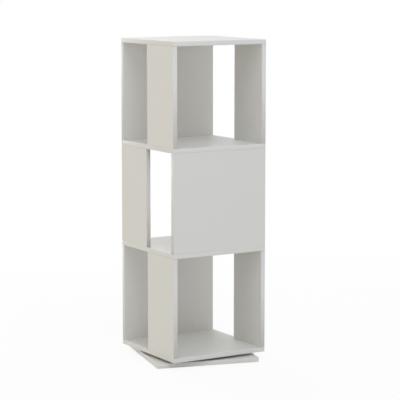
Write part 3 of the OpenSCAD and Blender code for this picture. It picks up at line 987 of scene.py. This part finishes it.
class SHELF_OT_cover_caps(bpy.types.Operator):
    """Make the cover caps over the cams"""
    bl_idname = "shelf.cover_caps"
    bl_label = "Cover Caps"

    def execute(self, context):
        caps = context.scene.shelf_caps
        tree = cover_cap_tree(caps)
        plastic = plastic_finish(context.scene.shelf_colours)
        for tier in TIERS:
            node = tier + "_cam_caps"
            places, size = seats(node, outwards)
            piece = grown(node + ".moulded", places, tree, caps, Diameter=size.z, Length=min(size),
                          Material=plastic)
            settle(piece, "tower", "white_plastic", node)
        return {"FINISHED"}


class SHELF_OT_dowels(bpy.types.Operator):
    """Make the dowels that line up the boards and panels"""
    bl_idname = "shelf.dowels"
    bl_label = "Dowels"

    def execute(self, context):
        dowels = context.scene.shelf_dowels
        tree = dowel_tree(dowels)
        wood = finish("Beech dowel", beech, context.scene.shelf_colours)
        for tier in TIERS:
            node = tier + "_dowels"
            places, size = seats(node, upwards)
            piece = grown(node + ".fluted", places, tree, dowels, Diameter=size.x, Length=size.z,
                          Material=wood)
            settle(piece, "tower", "beech_dowel", node)
        return {"FINISHED"}


class SHELF_OT_cam_bolts(bpy.types.Operator):
    """Make the threaded bolts that the cams pull on"""
    bl_idname = "shelf.cam_bolts"
    bl_label = "Cam Bolts"

    def execute(self, context):
        bolts = context.scene.shelf_bolts
        tree = cam_bolt_tree(bolts)
        zinc = zinc_finish(context.scene.shelf_colours)
        for tier in TIERS:
            node = tier + "_cam_bolts"
            floor = box_of(UPRIGHTS[tier][0]).low.z
            places, size = seats(node, lambda bolt: (0, 0, 1 if bolt.low.z < floor else -1))
            piece = grown(node + ".threaded", places, tree, bolts, Length=size.z, Material=zinc)
            settle(piece, "tower", "zinc_plated_steel", node)
        return {"FINISHED"}


class SHELF_OT_bearing_screws(bpy.types.Operator):
    """Make the screws that hold the swivel bearing to the base plate and the bottom board"""
    bl_idname = "shelf.bearing_screws"
    bl_label = "Bearing Screws"

    def execute(self, context):
        screws = context.scene.shelf_screws
        tree = bearing_screw_tree(screws)
        zinc = zinc_finish(context.scene.shelf_colours)
        for node, body, up in (("base_screws", "base", -1), ("tower_screws", "tower", 1)):
            places, size = seats(node, lambda screw: (0, 0, up))
            piece = grown(node + ".threaded", places, tree, screws, Length=size.z, Head=size.x,
                          Material=zinc)
            settle(piece, body, "zinc_plated_steel", node)
        return {"FINISHED"}


class SHELF_OT_floor_glides(bpy.types.Operator):
    """Make the glides under the base plate"""
    bl_idname = "shelf.floor_glides"
    bl_label = "Floor Glides"

    def execute(self, context):
        glides = context.scene.shelf_glides
        places, size = seats("floor_glides", upwards)
        piece = grown("floor_glides.moulded", places, glide_tree(glides), glides, Diameter=size.x,
                      Length=size.z, Material=plastic_finish(context.scene.shelf_colours))
        settle(piece, "base", "white_plastic", "floor_glides")
        return {"FINISHED"}


class SHELF_OT_bearing_balls(bpy.types.Operator):
    """Make the balls of the swivel bearing"""
    bl_idname = "shelf.bearing_balls"
    bl_label = "Bearing Balls"

    def execute(self, context):
        balls = context.scene.shelf_balls
        solids, ring = solids_of("bearing_balls"), box_of("bearing_balls")
        size = solids[0].size.z
        piece = grown("bearing_balls.polished", [], ball_ring_tree(balls), balls, Balls=len(solids),
                      Ball=size, Circle=2 * ring.high.x - size, Height=ring.middle.z,
                      Material=finish("Polished bearing steel", ball_steel, context.scene.shelf_colours))
        settle(piece, "ball_ring", "bearing_ball", "bearing_balls")
        return {"FINISHED"}


class SHELF_OT_bearing_and_cams(bpy.types.Operator):
    """Finish the bearing's plates, its cage and the cams, which keep their CAD shapes"""
    bl_idname = "shelf.bearing_and_cams"
    bl_label = "Bearing and Cams"

    def execute(self, context):
        colours = context.scene.shelf_colours
        zinc = zinc_finish(colours)
        cast = finish("Die-cast zinc alloy", cast_zinc, colours)
        nylon = finish("Natural nylon", moulded, colours.nylon, (0.39, 0.51))
        finishes = {"bearing_lower_plate": zinc, "bearing_upper_plate": zinc, "ball_cage": nylon}
        finishes.update({tier + "_cams": cast for tier in TIERS})
        for node, material in finishes.items():
            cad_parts[node].material_slots[0].material = material
        return {"FINISHED"}


class SHELF_OT_stage(bpy.types.Operator):
    """Make the floor, the white surroundings, the lamps and the camera"""
    bl_idname = "shelf.stage"
    bl_label = "Stage"

    def execute(self, context):
        studio = context.scene.shelf_studio
        self.make_floor(studio)
        self.make_sky(context.scene, studio)
        self.make_lamps(studio)
        self.make_camera(context.scene, studio)
        return {"FINISHED"}

    def make_floor(self, studio):
        """A pale floor that the camera sees as white, with a share of the object's shadow."""
        bpy.ops.mesh.primitive_plane_add(size=studio.floor_size)
        floor = bpy.context.object
        floor.name = "studio_floor"
        made = bpy.data.materials.new("Matt studio floor")
        made.use_nodes = True
        tree = made.node_tree
        tree.nodes.clear()
        place = add(tree, "ShaderNodeTexCoord").outputs["Object"]
        away = add(tree, "ShaderNodeVectorMath", {0: place}, operation="LENGTH").outputs["Value"]
        white = add(tree, "ShaderNodeMapRange", {
            "Value": away, "From Min": studio.shading_reach * SHADED_SHARE, "From Max": studio.shading_reach,
            "To Min": 1 - studio.floor_shading, "To Max": 1.0}, interpolation_type="SMOOTHSTEP")
        share = add(tree, "ShaderNodeMath", {0: self.seen_directly(tree), 1: white.outputs["Result"]},
                    operation="MULTIPLY")
        matt = add(tree, "ShaderNodeBsdfDiffuse", {"Color": opaque(studio.floor_colour)})
        glow = add(tree, "ShaderNodeEmission", {"Strength": 1.0})
        mix = add(tree, "ShaderNodeMixShader", {0: share.outputs[0], 1: matt.outputs[0], 2: glow.outputs[0]})
        add(tree, "ShaderNodeOutputMaterial", {"Surface": mix.outputs[0]})
        floor.data.materials.append(made)

    def seen_directly(self, tree):
        """1 where the camera, a reflection or a clear material looks at the surface."""
        path = add(tree, "ShaderNodeLightPath").outputs
        either = add(tree, "ShaderNodeMath", {0: path["Is Camera Ray"], 1: path["Is Glossy Ray"]},
                     operation="MAXIMUM")
        both = add(tree, "ShaderNodeMath", {0: either.outputs[0], 1: path["Is Transmission Ray"]},
                   operation="MAXIMUM")
        return both.outputs[0]

    def make_sky(self, scene, studio):
        """Even light from all round, white where it is seen."""
        world = scene.world or bpy.data.worlds.new("Studio")
        scene.world = world
        world.use_nodes = True
        tree = world.node_tree
        tree.nodes.clear()
        seen = self.seen_directly(tree)
        strength = add(tree, "ShaderNodeMapRange", {
            "Value": seen, "To Min": studio.sky_strength, "To Max": 1.0})
        tint = add(tree, "ShaderNodeMix", {
            MIX_FACTOR: seen, MIX_FIRST: opaque(studio.sky_colour), MIX_SECOND: opaque((1.0, 1.0, 1.0))},
            data_type="RGBA")
        sky = add(tree, "ShaderNodeBackground", {
            "Strength": strength.outputs["Result"], "Color": tint.outputs[MIXED]})
        add(tree, "ShaderNodeOutputWorld", {"Surface": sky.outputs[0]})

    def make_lamps(self, studio):
        """Square soft lamps that face the middle of the object and stay out of the picture."""
        centre = Vector((0, 0, CAD_BOX[1].z / 2))
        for name, (place, side) in LAMPS.items():
            data = bpy.data.lights.new(name, "AREA")
            data.size = side
            data.energy = getattr(studio, name.lower() + "_power")
            data.color = getattr(studio, name.lower() + "_colour")
            lamp = new_object(name, data)
            lamp.visible_camera = False
            lamp.location = place
            lamp.rotation_euler = (centre - Vector(place)).to_track_quat("-Z", "Y").to_euler()

    def make_camera(self, scene, studio):
        """The camera, standing and aimed as the photographer's."""
        heading, tilt = studio.camera_heading, studio.camera_tilt
        level = math.cos(tilt)
        ahead = Vector((math.sin(heading) * level, math.cos(heading) * level, -math.sin(tilt)))
        data = bpy.data.cameras.new("Camera")
        data.sensor_width = SENSOR_WIDTH
        data.lens = studio.focal_length
        camera = new_object("Camera", data)
        camera.location = studio.camera_place
        camera.rotation_euler = ahead.to_track_quat("-Z", "Y").to_euler()
        scene.camera = camera
        scene.view_settings.view_transform = "Standard"


class SHELF_PT_sidebar(bpy.types.Panel):
    """Lists the settings of the shelf unit and the steps that build it"""
    bl_label = "Rotating Shelf Unit"
    bl_idname = "SHELF_PT_sidebar"
    bl_space_type = "VIEW_3D"
    bl_region_type = "UI"
    bl_category = "Shelf"

    def draw(self, context):
        for name in GROUPS:
            group = getattr(context.scene, name)
            box = self.layout.box()
            for key in group.__annotations__:
                box.prop(group, key)
        for step in STEPS:
            self.layout.operator(step.bl_idname)


STEPS = (SHELF_OT_level_boards, SHELF_OT_upright_panels, SHELF_OT_base_plate, SHELF_OT_cover_caps,
         SHELF_OT_dowels, SHELF_OT_cam_bolts, SHELF_OT_bearing_screws, SHELF_OT_floor_glides,
         SHELF_OT_bearing_balls, SHELF_OT_bearing_and_cams, SHELF_OT_stage)
GROUPS = {"shelf_boards": ShelfBoards, "shelf_bores": ShelfBores, "shelf_caps": ShelfCaps,
          "shelf_dowels": ShelfDowels, "shelf_bolts": ShelfBolts, "shelf_screws": ShelfScrews,
          "shelf_glides": ShelfGlides, "shelf_balls": ShelfBalls, "shelf_colours": ShelfColours,
          "shelf_studio": ShelfStudio}


def register():
    """Adds the settings, the steps and the panel."""
    for name, group in GROUPS.items():
        bpy.utils.register_class(group)
        setattr(bpy.types.Scene, name, bpy.props.PointerProperty(type=group))
    for step in STEPS:
        bpy.utils.register_class(step)
    bpy.utils.register_class(SHELF_PT_sidebar)


def unregister():
    """Takes the panel, the steps and the settings away again."""
    bpy.utils.unregister_class(SHELF_PT_sidebar)
    for step in reversed(STEPS):
        bpy.utils.unregister_class(step)
    for name, group in GROUPS.items():
        delattr(bpy.types.Scene, name)
        bpy.utils.unregister_class(group)


def main():
    """Builds the shelf unit and its stage."""
    register()
    for step in STEPS:
        module, name = step.bl_idname.split(".")
        getattr(getattr(bpy.ops, module), name)()


if __name__ == "__main__":
    main()
